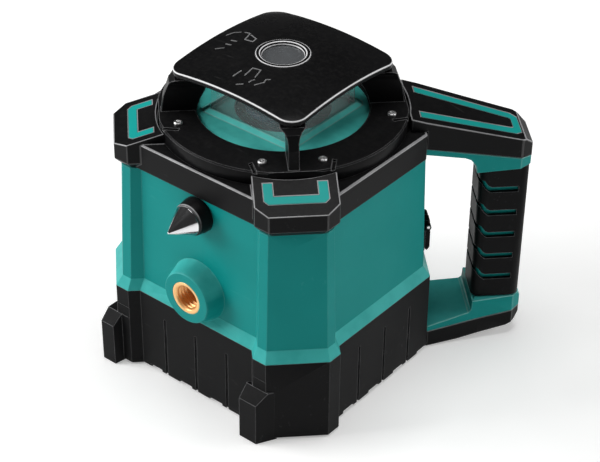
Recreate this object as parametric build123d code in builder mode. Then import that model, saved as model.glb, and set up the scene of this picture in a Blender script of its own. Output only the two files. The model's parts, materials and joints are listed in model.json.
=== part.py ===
"""Self-levelling rotating laser level: every casing, lens, mechanism and control as its own piece.

Frame: +Z up, origin on the rotor axis at the underside of the base.  -Y is the face with the side
thread and the spike, +X is plain, +Y holds the keypad, -X holds the battery door, and the carrying
handle stands out along the +X +Y diagonal.
"""

from build123d import *
import os
from math import cos, radians, sin, sqrt

# ---------------------------------------------------------------- driving dimensions, mm
base_top = 51.9          # rubber boot up to the sloping ledge
ledge_top = 58.2         # ledge up to the straight wall
body_top = 130.0         # straight wall up to the black top frame
frame_top = 146.0        # flat top of the top frame
flange_top = 154.2       # top face of the turret flange
deck_top = 152.7         # floor of the turret, where the glass stands
glass_top = 178.0
roof_top = 185.6         # crown of the turret roof
roof_radius = 250.0      # radius of the domed roof

wall = 3.0               # moulded wall thickness
main_boot, main_ledge, main_head = 73.7, 69.9, 68.0        # half-widths of the recessed faces
pillar_boot, pillar_ledge, pillar_head = 78.5, 75.1, 72.1  # half-widths over the corner pillars
nose_boot, nose_ledge, nose_head = 54.4, 52.3, 51.0        # where each pillar turns into its chamfer
step_boot, step_ledge, step_head = 45.5, 46.0, 45.0        # inner edge of each pillar band
handle_boot, handle_ledge, handle_head = 81.0, 77.0, 75.0  # distance of the handle corner's flat

rim_half = 69.8          # top frame over its straight sides
pad_half, pad_reach, pad_nose = 21.8, 90.8, 15.0           # corner bumpers, along the diagonal
pad_slope = 0.32
flange_radius, deck_radius = 67.7, 46.3
flange_nose = 66.3       # flat nose of the flange under each fin
screw_circle, screw_turn = 58.6, 15.3     # flange screws, degrees either side of each fin
roof_half, roof_corner = 44.0, 10.0
glass_half, glass_thick, glass_corner = 28.5, 2.5, 3.0
aperture_radius = 11.2

thread_minor, insert_radius = 6.7, 9.7   # 5/8 inch - 11 survey thread, bore at its minor diameter
boss_radius, boss_foot, boss_face, boss_z = 15.3, 18.6, -80.0, 70.2
spike_z, spike_tip = 118.8, -91.5

pivot_z = 115.0          # both gimbal axes
tilt_arm = 50.0          # distance of each levelling plunger from the rotor axis
rotor_radius = 20.5
motor_x = -28.0          # spin motor, beside the rotor
rotor_pulley, motor_pulley = 12.0, 4.0
running = 0.05           # radial clearance of a running fit

root2 = sqrt(2.0)
diagonal = Vector(1 / root2, 1 / root2, 0)
side_plane = Plane(origin=(0, 0, 0), x_dir=diagonal, z_dir=(1 / root2, -1 / root2, 0))
turned_plane = Plane(origin=(0, 0, 0), x_dir=diagonal, z_dir=(0, 0, 1))
back_plane = Plane(origin=(0, 0, 0), x_dir=(-1, 0, 0), z_dir=(0, 1, 0))      # seen from +Y
left_plane = Plane(origin=(0, 0, 0), x_dir=(0, -1, 0), z_dir=(-1, 0, 0))     # seen from -X
front_plane = Plane(origin=(0, 0, 0), x_dir=(1, 0, 0), z_dir=(0, -1, 0))     # seen from -Y

os.makedirs("parts", exist_ok=True)
written = []


def keep(builder, name):
    """Label a finished piece and write it to its own file."""
    builder.part.label = name
    export_step(builder.part, f"parts/{name}.step")
    written.append(name)


def quarter_turn(points, turns):
    for _ in range(turns):
        points = [(-y, x) for x, y in points]
    return points


def casing_outline(main, pillar, nose, step, handle, inset=0.0):
    """Plan of the casing: three corners with pillars and a chamfer, one plain handle corner."""
    corner = 0.4142 * inset
    outer = pillar - inset
    flat = main - inset
    step_out = step + corner
    step_in = step_out - (outer - flat)
    tip = nose - corner
    edge = handle * root2 - main - corner
    pillar_corner = [
        (step_in, -flat), (step_out, -outer), (tip, -outer),
        (outer, -tip), (outer, -step_out), (flat, -step_in),
    ]
    front = pillar_corner
    back = quarter_turn(pillar_corner, 2)
    left = quarter_turn(pillar_corner, 3)
    return front + [(flat, edge), (edge, flat)] + back + left


def boot_outline(inset=0.0):
    return casing_outline(main_boot, pillar_boot, nose_boot, step_boot, handle_boot, inset)


def ledge_outline(inset=0.0):
    return casing_outline(main_ledge, pillar_ledge, nose_ledge, step_ledge, handle_ledge, inset)


def head_outline(inset=0.0):
    return casing_outline(main_head, pillar_head, nose_head, step_head, handle_head, inset)


def along(distance, across, turns=0):
    """A point at a distance along the -45 degree diagonal and across it, then turned by quarters."""
    x = (distance + across) / root2
    y = -(distance - across) / root2
    return quarter_turn([(x, y)], turns)[0]


pillar_corners = (0, 2, 3)      # quarter turns to the front, back and left corners
all_corners = (0, 1, 2, 3)

# ---------------------------------------------------------------- rubber boot and underside
skirt_gap = 1.4                 # the straight walls stand clear of the ground
groove_pitch, groove_width, groove_depth, groove_top = 22.6, 1.6, 1.0, 40.0


with BuildPart() as base_boot:
    with BuildSketch(Plane.XY):
        Polygon(*boot_outline(), align=None)
    extrude(amount=base_top)
    chamfer(base_boot.edges().filter_by(Plane.XY).group_by(Axis.Z)[0], length=1.2)
    # the two lugs that it lies on, with sloping tops
    with BuildSketch(Plane.XY):
        Polygon((41, -77), (41, -84.7), (52.6, -84.7), (58.4, -74), (50, -70), align=None)
    extrude(amount=33)
    with BuildSketch(Plane.XY):
        Polygon((-62, -68), (-62, -84.5), (-52.7, -84.5), (-50, -70), align=None)
    extrude(amount=33)
    with BuildSketch(Plane(origin=(0, 0, 0), x_dir=(0, 1, 0), z_dir=(1, 0, 0))):
        Polygon((-100, 40), (-100, 19.8), (-84.7, 26.5), (-78.4, 33), (-78.4, 40), align=None)
    extrude(amount=80, both=True, mode=Mode.SUBTRACT)
    # hollow from below
    with BuildSketch(Plane.XY):
        Polygon(*boot_outline(wall), align=None)
    extrude(amount=base_top, mode=Mode.SUBTRACT)
    # ground clearance under the straight walls and the three grooves in each face
    for turn in all_corners:
        face = Plane.XY.rotated((0, 0, 90 * turn))
        with BuildSketch(face):
            with Locations((0, -main_boot)):
                Rectangle(66, 14)
        extrude(amount=skirt_gap, mode=Mode.SUBTRACT)
        with BuildSketch(face):
            with Locations(*[(groove_pitch * (i - 1.5) + 3.0, -main_boot) for i in range(4)]):
                Rectangle(9.0, 14)
        extrude(amount=skirt_gap + 1.3, mode=Mode.SUBTRACT)
        with BuildSketch(face):
            with Locations(*[(groove_pitch * (i - 1), -main_boot) for i in range(3)]):
                Rectangle(groove_width, 2 * groove_depth)
        extrude(amount=groove_top, mode=Mode.SUBTRACT)
keep(base_boot, "base_boot")

plate_low, plate_high, board_z = 2.6, 6.0, 24.0
with BuildPart() as bottom_plate:
    with BuildSketch(Plane.XY.offset(plate_low)):
        Polygon(*boot_outline(wall + 0.3), align=None)
    extrude(amount=plate_high - plate_low)
    with BuildSketch(Plane.XY):
        Circle(15)
    extrude(amount=16)
    with BuildSketch(Plane.XY.offset(plate_high)):
        with GridLocations(86, 86, 2, 2):
            Circle(3)
    extrude(amount=board_z - plate_high)
    with BuildSketch(Plane.XY):
        Circle(insert_radius)
    extrude(amount=16, mode=Mode.SUBTRACT)
    with Locations(*[Pos(*along(70, 0, turn), plate_low) for turn in all_corners]):
        Hole(radius=2.1, depth=20)
keep(bottom_plate, "bottom_plate")

with BuildPart() as tripod_insert:
    with BuildSketch(Plane.XY):
        Circle(insert_radius)
        Circle(thread_minor, mode=Mode.SUBTRACT)
    extrude(amount=15.5)
keep(tripod_insert, "tripod_thread_insert")

with BuildPart() as base_screws:
    with BuildSketch(Plane.XY.offset(plate_low - 1.6)):
        with Locations(*[along(70, 0, turn) for turn in all_corners]):
            Circle(3.6)
    extrude(amount=1.6)
    with BuildSketch(Plane.XY.offset(plate_low)):
        with Locations(*[along(70, 0, turn) for turn in all_corners]):
            Circle(2.0)
    extrude(amount=10)
    with BuildSketch(Plane.XY.offset(plate_low - 1.6)):
        with Locations(*[along(70, 0, turn) for turn in all_corners]):
            Rectangle(4.4, 0.9)
            Rectangle(0.9, 4.4)
    extrude(amount=0.9, mode=Mode.SUBTRACT)
keep(base_screws, "base_screws")

# ---------------------------------------------------------------- body shell
panel_half, panel_low, panel_high = 36.0, 74.0, 124.0
door_half, door_low, door_high = 31.0, 62.0, 106.0
hinge_x, hinge_y, knuckle = -72.0, 33.6, 2.2
port_half, port_low, port_high = 9.0, 59.0, 73.0

with BuildPart() as body_shell:
    with BuildSketch(Plane.XY.offset(base_top)):
        Polygon(*boot_outline(), align=None)
    with BuildSketch(Plane.XY.offset(ledge_top)):
        Polygon(*ledge_outline(), align=None)
    loft(ruled=True)
    with BuildSketch(Plane.XY.offset(ledge_top)):
        Polygon(*ledge_outline(), align=None)
    with BuildSketch(Plane.XY.offset(body_top)):
        Polygon(*head_outline(), align=None)
    loft(ruled=True)
    with BuildSketch(Plane(origin=(0, 0, boss_z), x_dir=(1, 0, 0), z_dir=(0, 0, 1))):
        Polygon((0, -62), (boss_foot, -62), (boss_foot, -main_head - 0.6), (boss_radius, boss_face + 0.5),
                (boss_radius - 0.5, boss_face), (0, boss_face), align=None)
    revolve(axis=Axis(origin=(0, 0, boss_z), direction=(0, 1, 0)))
    with BuildSketch(Plane.XY.offset(base_top)):
        with Locations((0, -70)):
            Rectangle(50, 30)
    extrude(amount=-6, mode=Mode.SUBTRACT)
    with BuildSketch(Plane.XY.offset(base_top)):
        Polygon(*boot_outline(2 * wall), align=None)
    with BuildSketch(Plane.XY.offset(ledge_top)):
        Polygon(*ledge_outline(wall), align=None)
    loft(ruled=True, mode=Mode.SUBTRACT)
    with BuildSketch(Plane.XY.offset(ledge_top)):
        Polygon(*ledge_outline(wall), align=None)
    with BuildSketch(Plane.XY.offset(body_top)):
        Polygon(*head_outline(wall), align=None)
    loft(ruled=True, mode=Mode.SUBTRACT)
    # solid bosses behind the wall for the side thread and the spike socket
    with BuildSketch(front_plane.offset(58)):
        with Locations((0, boss_z)):
            Circle(boss_radius)
    extrude(amount=10)
    with BuildSketch(front_plane.offset(58)):
        with Locations((0, boss_z)):
            Circle(insert_radius)
    extrude(amount=40, mode=Mode.SUBTRACT)
    with BuildSketch(front_plane.offset(58)):
        with Locations((0, spike_z)):
            Circle(7.0)
    extrude(amount=20, mode=Mode.SUBTRACT)
    with BuildSketch(front_plane.offset(68)):
        with Locations((0, spike_z)):
            Circle(10.3)
    extrude(amount=10, mode=Mode.SUBTRACT)
    # windows for the keypad, the battery door and the charging port
    with BuildSketch(back_plane.offset(60)):
        with Locations((0, (panel_low + panel_high) / 2)):
            Rectangle(2 * panel_half + 0.2, panel_high - panel_low + 0.2)
    extrude(amount=20, mode=Mode.SUBTRACT)
    with BuildSketch(left_plane.offset(60)):
        with Locations((0, (door_low + door_high) / 2)):
            Rectangle(2 * door_half + 0.8, door_high - door_low + 0.8)
    extrude(amount=20, mode=Mode.SUBTRACT)
    with BuildSketch(turned_plane.offset(port_low)):
        with Locations((75, 0)):
            Rectangle(24, 2 * port_half)
    extrude(amount=port_high - port_low, mode=Mode.SUBTRACT)
    # fixed knuckle of the battery door
    with BuildSketch(Plane.XY.offset(80.4)):
        with Locations((hinge_x, hinge_y)):
            Circle(knuckle)
        Polygon((hinge_x, hinge_y - 0.4), (-67, 35.0), (-67, 38.5), (hinge_x, hinge_y + knuckle), align=None)
    extrude(amount=7.2)
    with BuildSketch(Plane.XY.offset(80)):
        with Locations((hinge_x, hinge_y)):
            Circle(1.0)
    extrude(amount=8, mode=Mode.SUBTRACT)
keep(body_shell, "body_shell")

with BuildPart() as side_insert:
    with BuildSketch(front_plane.offset(58)):
        with Locations((0, boss_z)):
            Circle(insert_radius)
            Circle(thread_minor, mode=Mode.SUBTRACT)
    extrude(amount=-boss_face - 58)
    chamfer(side_insert.faces().sort_by(Axis.Y)[0].edges().sort_by(SortBy.RADIUS)[0], length=1.1)
keep(side_insert, "side_thread_insert")

with BuildPart() as spike_socket:
    with BuildSketch(Plane(origin=(0, 0, spike_z), x_dir=(1, 0, 0), z_dir=(0, 0, 1))):
        Polygon((0, -60), (7, -60), (7, -68), (10.2, -68), (10.2, -70.5), (9.2, -76.2), (8.4, -77), (0, -77),
                align=None)
    revolve(axis=Axis(origin=(0, 0, spike_z), direction=(0, 1, 0)))
    with BuildSketch(front_plane.offset(59)):
        with Locations((0, spike_z)):
            Circle(3.0)
    extrude(amount=30, mode=Mode.SUBTRACT)
keep(spike_socket, "spike_socket")

with BuildPart() as spike:
    with BuildSketch(Plane(origin=(0, 0, spike_z), x_dir=(1, 0, 0), z_dir=(0, 0, 1))):
        Polygon((0, -62), (3, -62), (3, -77), (8.2, -77), (8.6, -77.5), (0.5, spike_tip + 0.1), (0, spike_tip),
                align=None)
    revolve(axis=Axis(origin=(0, 0, spike_z), direction=(0, 1, 0)))
keep(spike, "centring_spike")

# ---------------------------------------------------------------- top frame with corner bumpers


def pad_height(distance):
    """Sloping top of each bumper."""
    return 151.0 - pad_slope * (distance - 67.0)


def pad_outline(turns, inset=0.0):
    """Plan of a bumper: parallel sides, two short flanks and the outer nose."""
    flank = (pad_reach + pad_nose) - pad_half
    points = [
        (48, -pad_half + inset), (flank - 0.4142 * inset, -pad_half + inset),
        (pad_reach - inset, -pad_nose + 0.4142 * inset), (pad_reach - inset, pad_nose - 0.4142 * inset),
        (flank - 0.4142 * inset, pad_half - inset), (48, pad_half - inset),
    ]
    return [along(a, b, turns) for a, b in points]


rim_corner = 61.0
rim_outline = [
    (rim_corner - 14, -rim_half), (rim_half, -rim_corner + 14),
    (rim_half, handle_head * root2 - rim_half), (handle_head * root2 - rim_half, rim_half),
    (-rim_corner + 14, rim_half), (-rim_half, rim_corner - 14),
    (-rim_half, -rim_corner + 14), (-rim_corner + 14, -rim_half),
]
inlay_inner, inlay_outer, inlay_reach, inlay_bar, inlay_depth = 11.7, 16.4, 82.6, 4.6, 1.2


def inlay_outline(turns):
    """A squared C on top of a bumper, open towards the turret."""
    corner = 2.2
    points = [
        (69.7, -inlay_outer), (inlay_reach - corner, -inlay_outer), (inlay_reach, -inlay_outer + corner),
        (inlay_reach, inlay_outer - corner), (inlay_reach - corner, inlay_outer), (69.7, inlay_outer),
        (69.7, inlay_inner), (inlay_reach - inlay_bar, inlay_inner),
        (inlay_reach - inlay_bar, -inlay_inner), (69.7, -inlay_inner),
    ]
    return [along(a, b, turns) for a, b in points]


def diagonal_side(turns):
    """Upright plane through the axis along one diagonal, x outwards and y up."""
    out = quarter_turn([(1 / root2, -1 / root2)], turns)[0]
    across = (out[1], -out[0])
    return Plane(origin=(0, 0, 0), x_dir=(*out, 0), z_dir=(*across, 0))


with BuildPart() as corner_inlays:
    for turn in pillar_corners:
        with BuildSketch(Plane.XY.offset(135)):
            Polygon(*inlay_outline(turn), align=None)
        extrude(amount=25)
    for turn in pillar_corners:
        with BuildSketch(diagonal_side(turn)):
            Polygon((60, 175), (60, pad_height(60)), (100, pad_height(100)), (100, 175), align=None)
            Polygon((60, 100), (60, pad_height(60) - inlay_depth), (100, pad_height(100) - inlay_depth),
                    (100, 100), align=None)
        extrude(amount=30, both=True, mode=Mode.SUBTRACT)
keep(corner_inlays, "corner_inlays")

with BuildPart() as top_frame:
    with BuildSketch(Plane.XY.offset(body_top)):
        Polygon(*rim_outline, align=None)
    extrude(amount=frame_top - body_top)
    chamfer(top_frame.faces().sort_by(Axis.Z)[-1].edges(), length=0.8)
    for turn in pillar_corners:
        with BuildSketch(Plane.XY.offset(body_top)):
            Polygon(*pad_outline(turn, 3.6), align=None)
        with BuildSketch(Plane.XY.offset(body_top + 4.0)):
            Polygon(*pad_outline(turn), align=None)
        loft(ruled=True)
        with BuildSketch(Plane.XY.offset(body_top + 4.0)):
            Polygon(*pad_outline(turn), align=None)
        extrude(amount=24)
        with BuildSketch(diagonal_side(turn)):
            Polygon((55, 175), (55, pad_height(55)), (110, pad_height(110)), (110, 175), align=None)
        extrude(amount=40, both=True, mode=Mode.SUBTRACT)
    add(corner_inlays.part, mode=Mode.SUBTRACT)
    # flat seat for the turret flange
    with BuildSketch(Plane.XY.offset(frame_top)):
        Circle(flange_radius + 0.1)
    extrude(amount=30, mode=Mode.SUBTRACT)
    # hollow underside
    with BuildSketch(Plane.XY.offset(body_top)):
        Polygon(*head_outline(wall), align=None)
    extrude(amount=frame_top - 2.5 - body_top, mode=Mode.SUBTRACT)
    with BuildSketch(Plane.XY.offset(body_top)):
        Circle(42)
    extrude(amount=40, mode=Mode.SUBTRACT)
keep(top_frame, "top_frame")

# ---------------------------------------------------------------- turret
fin_thick, fin_top = 5.6, 174.8
fin_profile = [
    (46.4, flange_top - 1), (45.4, 158.0), (43.6, 162.5), (41.4, 166.5), (41.4, fin_top), (57.5, fin_top),
    (60.5, 172.0), (63.5, 164.0), (65.2, flange_top - 1),
]
half_web = fin_thick / 2
fin_section = [
    (-half_web, 150), (half_web, 150), (half_web, 168.0), (half_web + 0.6, 171.0), (half_web + 1.8, 173.0),
    (half_web + 4.0, fin_top), (-half_web - 4.0, fin_top), (-half_web - 1.8, 173.0), (-half_web - 0.6, 171.0),
    (-half_web, 168.0),
]
roof_centre_z = roof_top - roof_radius


def roof_under(distance, thickness=3.5):
    """Height of the roof's underside at a distance from the axis."""
    return roof_centre_z + sqrt((roof_radius - thickness) ** 2 - distance ** 2)


flange_screws = [along(screw_circle * cos(radians(a)), screw_circle * sin(radians(a)), t)
                 for t in all_corners for a in (-screw_turn, screw_turn)]

with BuildPart() as fins:
    for turn in all_corners:
        with BuildSketch(diagonal_side(turn)):
            Polygon(*fin_profile, align=None)
        extrude(amount=12, both=True)
    # each fin is a thin web that widens into the roof
    with BuildPart(mode=Mode.INTERSECT):
        for turn in all_corners:
            foot = Vector(*along(40, 0, turn), 0)
            outward = Vector(*along(1, 0, turn), 0)
            with BuildSketch(Plane(origin=foot, x_dir=Vector(0, 0, 1).cross(outward), z_dir=outward)):
                Polygon(*fin_section, align=None)
            extrude(amount=40)

with BuildPart() as turret_ring:
    with BuildSketch(Plane.XY.offset(frame_top)):
        Circle(flange_radius)
        Circle(deck_radius, mode=Mode.SUBTRACT)
    extrude(amount=flange_top - frame_top)
    chamfer(turret_ring.faces().sort_by(Axis.Z)[-1].edges(), length=0.7)
    # flat nose under each fin, with a groove on either side of it
    for turn in all_corners:
        with BuildSketch(Plane.XY.offset(frame_top)):
            Polygon(along(flange_nose, -30, turn), along(80, -30, turn), along(80, 30, turn),
                    along(flange_nose, 30, turn), align=None)
        extrude(amount=20, mode=Mode.SUBTRACT)
        for side in (-1, 1):
            with BuildSketch(Plane.XY.offset(flange_top)):
                Polygon(along(56, side * 20.5, turn), along(57, side * 22.5, turn), along(66, side * 20.6, turn),
                        along(66, side * 18.6, turn), align=None)
            extrude(amount=-1.3, mode=Mode.SUBTRACT)
    add(fins.part)
    with Locations(*[Pos(x, y, flange_top) for x, y in flange_screws]):
        Hole(radius=1.5, depth=7)
keep(turret_ring, "turret_ring")

with BuildPart() as flange_fixings:
    with BuildSketch(Plane.XY.offset(flange_top)):
        with Locations(*flange_screws):
            Circle(2.4)
    extrude(amount=1.3)
    chamfer(flange_fixings.faces().sort_by(Axis.Z)[-8:].edges(), length=0.5)
    with BuildSketch(Plane.XY.offset(flange_top - 6)):
        with Locations(*flange_screws):
            Circle(1.45)
    extrude(amount=6)
    with BuildSketch(Plane.XY.offset(flange_top + 1.3)):
        with Locations(*flange_screws):
            RegularPolygon(1.2, 6)
    extrude(amount=-0.9, mode=Mode.SUBTRACT)
keep(flange_fixings, "turret_screws")


def square_outline(half, corner):
    """A square with its corners cut off."""
    return [point for turn in range(4)
            for point in quarter_turn([(half - corner, -half), (half, -half + corner)], turn)]


with BuildPart() as deck_plate:
    with BuildSketch(Plane.XY.offset(frame_top)):
        Circle(deck_radius - 0.1)
    extrude(amount=deck_top - frame_top)
    with BuildSketch(Plane.XY.offset(frame_top)):
        Circle(41)
    extrude(amount=3.4, mode=Mode.SUBTRACT)
    with BuildSketch(Plane.XY.offset(frame_top)):
        Circle(25.7)
    extrude(amount=20, mode=Mode.SUBTRACT)
    # sloping sill round the foot of the glass
    with BuildSketch(Plane.XY.offset(deck_top)):
        Polygon(*square_outline(glass_half + 3.2, glass_corner), align=None)
    with BuildSketch(Plane.XY.offset(deck_top + 2.2)):
        Polygon(*square_outline(glass_half + 0.9, glass_corner), align=None)
    loft(ruled=True)
    with BuildSketch(Plane.XY.offset(deck_top)):
        Polygon(*square_outline(glass_half + 0.06, glass_corner), align=None)
    extrude(amount=5, mode=Mode.SUBTRACT)
keep(deck_plate, "deck_plate")

with BuildPart() as glass_panes:
    with BuildSketch(Plane.XY.offset(deck_top)):
        Polygon(*square_outline(glass_half, glass_corner), align=None)
        Polygon(*square_outline(glass_half - glass_thick, 0.6 * glass_corner), align=None, mode=Mode.SUBTRACT)
    extrude(amount=glass_top - deck_top)
keep(glass_panes, "glass_panes")

with BuildPart() as turret_roof:
    with BuildSketch(Plane.XZ):
        with BuildLine():
            under = roof_radius - 3.5
            reach = 66.0
            high = ThreePointArc((0, roof_top), (reach / 2, roof_centre_z + sqrt(roof_radius**2 - reach**2 / 4)),
                                 (reach, roof_centre_z + sqrt(roof_radius**2 - reach**2)))
            low = ThreePointArc((0, roof_centre_z + under),
                                (reach / 2, roof_centre_z + sqrt(under**2 - reach**2 / 4)),
                                (reach, roof_centre_z + sqrt(under**2 - reach**2)))
            Line(high @ 0, low @ 0)
            Line(high @ 1, low @ 1)
        make_face()
    revolve(axis=Axis.Z)
    with BuildSketch(Plane.XY.offset(150)):
        RectangleRounded(2 * roof_half, 2 * roof_half, roof_corner)
    extrude(amount=60, mode=Mode.INTERSECT)
    fillet(turret_roof.edges().filter_by(lambda e: e.center().Z > roof_under(60) + 1.5
                                         and Vector(e.center().X, e.center().Y, 0).length > 30), radius=1.0)
    # collar that holds the glass, and sockets over the four fins
    with BuildSketch(Plane.XY.offset(glass_top)):
        RectangleRounded(2 * glass_half + 3, 2 * glass_half + 3, 2)
        RectangleRounded(2 * glass_half - 6, 2 * glass_half - 6, 2, mode=Mode.SUBTRACT)
    extrude(amount=roof_under(40) - glass_top + 0.5)
    for turn in all_corners:
        with BuildSketch(Plane.XY.offset(fin_top)):
            Polygon(*[along(a, b, turn) for a, b in ((50, -4), (56, -4), (56, 4), (50, 4))], align=None)
        extrude(amount=roof_under(54) - fin_top + 0.5)
    with BuildSketch(Plane.XY.offset(170)):
        Circle(aperture_radius + 3.5)
    extrude(amount=30, mode=Mode.SUBTRACT)
keep(turret_roof, "turret_roof")

ring_top = roof_top - 0.25
with BuildPart() as window_ring:
    with BuildSketch(Plane.XZ):
        Polygon((aperture_radius, ring_top - 4.5), (17, ring_top - 6.0), (17, ring_top - 4.0),
                (aperture_radius + 3.4, ring_top - 4.0), (aperture_radius + 3.4, ring_top),
                (aperture_radius + 1.2, ring_top), (aperture_radius, ring_top - 1.2), align=None)
    revolve(axis=Axis.Z)
keep(window_ring, "roof_window_ring")

with BuildPart() as roof_window:
    with BuildSketch(Plane.XY.offset(ring_top - 4.0)):
        Circle(aperture_radius - 0.05)
    extrude(amount=2.0)
keep(roof_window, "roof_window")

# ---------------------------------------------------------------- carrying handle


def cover_top(distance):
    return 152.0 - 0.306 * (distance - 73.0)


def cover_under(distance):
    return 133.9 - 0.2175 * (distance - 79.0)


grip_inner, grip_outer, grip_half, grip_low, grip_high = 107.6, 135.2, 12.8, 27.5, 116.0
grip_skin = 2.1
slot_heights = [101.0, 85.6, 70.7, 56.0, 41.6]
slot_height = 3.4
lower_plan = [(70, -22), (81, -22), (112, -16), (132, -13), (137, -8), (137, 8), (132, 13), (112, 16),
              (81, 22), (70, 22)]
upper_plan = [(55, -21.5), (75, -21.5), (100, -19), (129, -16.2), (135.5, -11), (135.5, 11),
              (129, 16.2), (100, 19), (75, 21.5), (55, 21.5)]


def arm_inlay(inset=0.0):
    """U-shaped strip on the upper arm, open towards the turret."""
    bar = 5.2
    return [
        (72.5, -15.6), (126, -10.3), (129.5, -7.5), (129.5, 7.5), (126, 10.3), (72.5, 15.6),
        (72.5, 15.6 - bar), (124, 10.6 - bar), (125.4, 4.6), (125.4, -4.6), (124, -10.6 + bar),
        (72.5, -15.6 + bar),
    ]


with BuildPart() as handle_inlay:
    with BuildSketch(turned_plane.offset(125)):
        Polygon(*arm_inlay(), align=None)
    extrude(amount=40)
    with BuildSketch(side_plane):
        Polygon((60, 175), (60, cover_top(60)), (140, cover_top(140)), (140, 175), align=None)
        Polygon((60, 100), (60, cover_top(60) - inlay_depth), (140, cover_top(140) - inlay_depth), (140, 100),
                align=None)
    extrude(amount=30, both=True, mode=Mode.SUBTRACT)
keep(handle_inlay, "handle_inlay")

with BuildPart() as handle_top_cover:
    with BuildSketch(side_plane):
        Polygon((66.3, frame_top + 0.05), (66.3, cover_top(66.3)), (131, cover_top(131)), (135.5, 130.0),
                (135.5, cover_under(135.5)), (75.05, cover_under(75.05)), (75.05, frame_top + 0.05),
                align=None)
    extrude(amount=30, both=True)
    with BuildSketch(turned_plane.offset(100)):
        Polygon(*upper_plan, align=None)
    extrude(amount=70, mode=Mode.INTERSECT)
    add(handle_inlay.part, mode=Mode.SUBTRACT)
    with BuildSketch(Plane.XY.offset(frame_top - 1)):
        Circle(flange_radius + 0.1)
    extrude(amount=30, mode=Mode.SUBTRACT)
keep(handle_top_cover, "handle_top_cover")

with BuildPart() as lower_frame:
    with BuildSketch(side_plane):
        Polygon((81.05, 11.2), (81.05, 14.6), (105.6, 19.6), (107.2, 21.4), (107.6, grip_low - 0.2),
                (135.3, grip_low - 0.2), (137.0, 24.0), (137.0, 17.2), align=None)
    extrude(amount=30, both=True)
    with BuildSketch(turned_plane):
        Polygon(*lower_plan, align=None)
    extrude(amount=60, mode=Mode.INTERSECT)

with BuildPart() as handle_core:
    with BuildSketch(side_plane):
        Polygon((75.05, cover_under(75.05) - 0.05), (135.3, cover_under(135.3) - 0.05),
                (135.3, grip_high + 0.2), (104.2, grip_high + 0.2), (103.4, 121.0), (100.5, 124.8), (97.0, 126.4),
                (75.05, 131.0), align=None)
    extrude(amount=30, both=True)
    with BuildSketch(turned_plane.offset(100)):
        Polygon(*[(a, 0.985 * b) for a, b in upper_plan], align=None)
    extrude(amount=70, mode=Mode.INTERSECT)
    with BuildSketch(turned_plane.offset(20)):
        with Locations(((grip_inner + grip_outer) / 2, 0)):
            RectangleRounded(grip_outer - grip_inner - 2 * grip_skin, 2 * (grip_half - grip_skin), 2.5)
    extrude(amount=100)
    add(lower_frame.part)
keep(handle_core, "handle_frame")

with BuildPart() as lower_cover:
    with BuildSketch(side_plane):
        Polygon((81.05, 0.3), (81.05, 11.1), (137.0, 17.1), (137.0, 12.0), (134.5, 8.5), (129.0, 6.0),
                (100, 1.6), align=None)
    extrude(amount=30, both=True)
    with BuildSketch(turned_plane):
        Polygon(*lower_plan, align=None)
    extrude(amount=60, mode=Mode.INTERSECT)
keep(lower_cover, "handle_lower_cover")

with BuildPart() as grip:
    with BuildSketch(turned_plane.offset(grip_low)):
        with Locations(((grip_inner + grip_outer) / 2, 0)):
            RectangleRounded(grip_outer - grip_inner, 2 * grip_half, 5)
    extrude(amount=grip_high - grip_low)
    chamfer(grip.edges().filter_by(Plane.XY), length=0.8)
    with BuildSketch(turned_plane.offset(grip_low)):
        with Locations(((grip_inner + grip_outer) / 2, 0)):
            RectangleRounded(grip_outer - grip_inner - 2 * grip_skin + 0.1, 2 * (grip_half - grip_skin) + 0.1, 2.5)
    extrude(amount=grip_high - grip_low, mode=Mode.SUBTRACT)
    for height in slot_heights:
        with BuildSketch(side_plane):
            with BuildLine():
                Polyline((129.4, height - slot_height / 2), (113.6, height - slot_height / 2),
                         (111.2, height + 0.4), (109.0, height + 3.6), (100.0, height + 5.2),
                         (100.0, height + 8.0), (110.4, height + 5.6), (112.4, height + 2.8),
                         (114.4, height + slot_height / 2), (129.4, height + slot_height / 2), close=True)
            make_face()
        extrude(amount=20, both=True, mode=Mode.SUBTRACT)
keep(grip, "handle_grip")

# ---------------------------------------------------------------- keypad on the +Y face
panel_face = 71.5
panel_mid = (panel_low + panel_high) / 2
key_radius = 4.2
keys = {
    "power_key": (-22.0, 90.0), "speed_key": (-7.5, 90.0), "scan_key": (7.5, 90.0),
    "mode_key": (22.0, 90.0), "left_key": (-14.5, 80.5), "right_key": (14.5, 80.5),
}
lamp_places = [(x, 101.0) for x in (-24.0, -12.0, 12.0, 24.0)]
receiver_place = (0.0, 111.0)

with BuildPart() as panel_bezel:
    with BuildSketch(back_plane.offset(66.0)):
        with Locations((0, panel_mid)):
            Rectangle(2 * panel_half, panel_high - panel_low)
    extrude(amount=panel_face - 66.0)
    chamfer(panel_bezel.faces().sort_by(Axis.Y)[-1].edges(), length=1.2)
    with BuildSketch(back_plane.offset(panel_face - 1.0)):
        with Locations((0, panel_mid)):
            RectangleRounded(2 * panel_half - 8, panel_high - panel_low - 7, 4)
    extrude(amount=5, mode=Mode.SUBTRACT)
    with BuildSketch(back_plane.offset(60)):
        with Locations(*keys.values()):
            Circle(key_radius + 0.5)
        with Locations(*lamp_places):
            Circle(1.6)
        with Locations(receiver_place):
            SlotCenterToCenter(22, 12)
    extrude(amount=20, mode=Mode.SUBTRACT)
keep(panel_bezel, "panel_bezel")

with BuildPart() as panel_overlay:
    with BuildSketch(back_plane.offset(panel_face - 0.98)):
        with Locations((0, panel_mid)):
            RectangleRounded(2 * panel_half - 8.4, panel_high - panel_low - 7.4, 4)
        with Locations(*keys.values()):
            Circle(key_radius + 0.5, mode=Mode.SUBTRACT)
        with Locations(*lamp_places):
            Circle(1.6, mode=Mode.SUBTRACT)
        with Locations(receiver_place):
            SlotCenterToCenter(22, 12, mode=Mode.SUBTRACT)
    extrude(amount=0.5)
keep(panel_overlay, "panel_overlay")

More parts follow.
